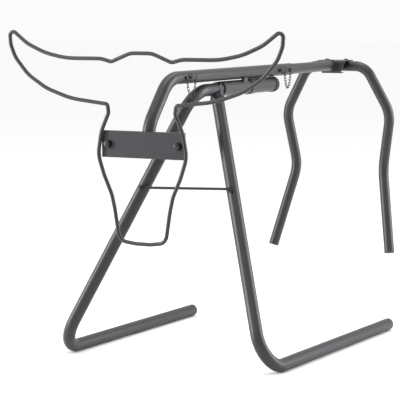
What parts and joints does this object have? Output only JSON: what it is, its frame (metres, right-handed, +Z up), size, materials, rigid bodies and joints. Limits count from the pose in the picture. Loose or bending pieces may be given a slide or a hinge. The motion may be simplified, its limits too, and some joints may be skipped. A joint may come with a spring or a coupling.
{
  "type": "folding sawhorse",
  "caption": "Folding bent-tube stand: two-piece top rail on crossed front legs that fold about an axle, bent hind legs on a rear bracket, cattle-head rod outline in front.",
  "frame": {"origin": "on the floor, midway between the front of the head rod and the back of the hind legs, on the stand's middle plane", "axes": "+Y to the rear along the top rail, +X to the stand's right, +Z up"},
  "size_m": [0.7644, 1.1241, 0.8212],
  "materials": {
    "black_powder_coat": "satin",
    "black_plastic": "matte",
    "dark_zinc": "satin"
  },
  "bodies": {
    "frame": {"main_spine_tube": "black_powder_coat", "rear_spine_tube": "black_powder_coat", "neck_tube": "black_powder_coat", "neck_end_plate": "black_powder_coat", "head_plate": "black_powder_coat", "head_outline": "black_powder_coat", "head_bolts": "dark_zinc", "head_washers": "dark_zinc", "head_nuts": "dark_zinc", "hub_sleeve": "black_powder_coat", "saddle_block": "black_powder_coat", "hub_end_cap": "black_plastic", "thrust_washer": "dark_zinc", "left_front_leg": "black_powder_coat", "left_foot_plug": "black_plastic", "brace_bolt": "dark_zinc", "brace_nut": "dark_zinc", "brace_spacers": "dark_zinc", "rear_bracket": "black_powder_coat", "hind_legs": "black_powder_coat", "hind_leg_plugs": "black_plastic", "bracket_bolts": "dark_zinc", "chain_rivets": "dark_zinc", "front_chain": "dark_zinc", "rear_chain": "dark_zinc"},
    "right_leg": {"right_front_leg": "black_powder_coat", "right_foot_plug": "black_plastic", "front_sleeve": "black_powder_coat", "stop_lug": "black_powder_coat", "hook_stud": "dark_zinc"},
    "spreader": {"spreader_rod": "black_powder_coat"},
    "front_lock_pin": {"front_pin": "dark_zinc"},
    "rear_lock_pin": {"rear_pin": "dark_zinc"},
    "front_pull_ring": {"front_pin_ring": "dark_zinc"},
    "rear_pull_ring": {"rear_pin_ring": "dark_zinc"}
  },
  "joints": [
    {"name": "right_leg_fold", "type": "hinge", "parent": "frame", "child": "right_leg", "pos_m": [0, -0.09933, 0.66595], "axis": [0, 1, 0], "range_deg": [0, 45]},
    {"name": "spreader_swing", "type": "hinge", "parent": "frame", "child": "spreader", "pos_m": [-0.10119, -0.39296, 0.42791], "axis": [0.306, -0.9422, 0.1361], "range_deg": [0, 63]},
    {"name": "front_pin_pull", "type": "slide", "parent": "frame", "child": "front_lock_pin", "axis": [1, 0, 0], "range_m": [0, 0.045], "deforming": ["front_chain"]},
    {"name": "rear_pin_pull", "type": "slide", "parent": "frame", "child": "rear_lock_pin", "axis": [1, 0, 0], "range_m": [0, 0.045], "deforming": ["rear_chain"]},
    {"name": "front_ring_swing", "type": "hinge", "parent": "front_lock_pin", "child": "front_pull_ring", "pos_m": [0.02173, -0.35463, 0.703], "axis": [0, 0, -1], "range_deg": [-5, 150], "deforming": ["front_chain"]},
    {"name": "rear_ring_swing", "type": "hinge", "parent": "rear_lock_pin", "child": "rear_pull_ring", "pos_m": [0.02173, 0.13257, 0.703], "axis": [0, 0, -1], "range_deg": [-5, 150], "deforming": ["rear_chain"]}
  ],
  "couplings": [
    {"joint": "spreader_swing", "follows": "right_leg_fold", "ratio": 1.4}
  ]
}
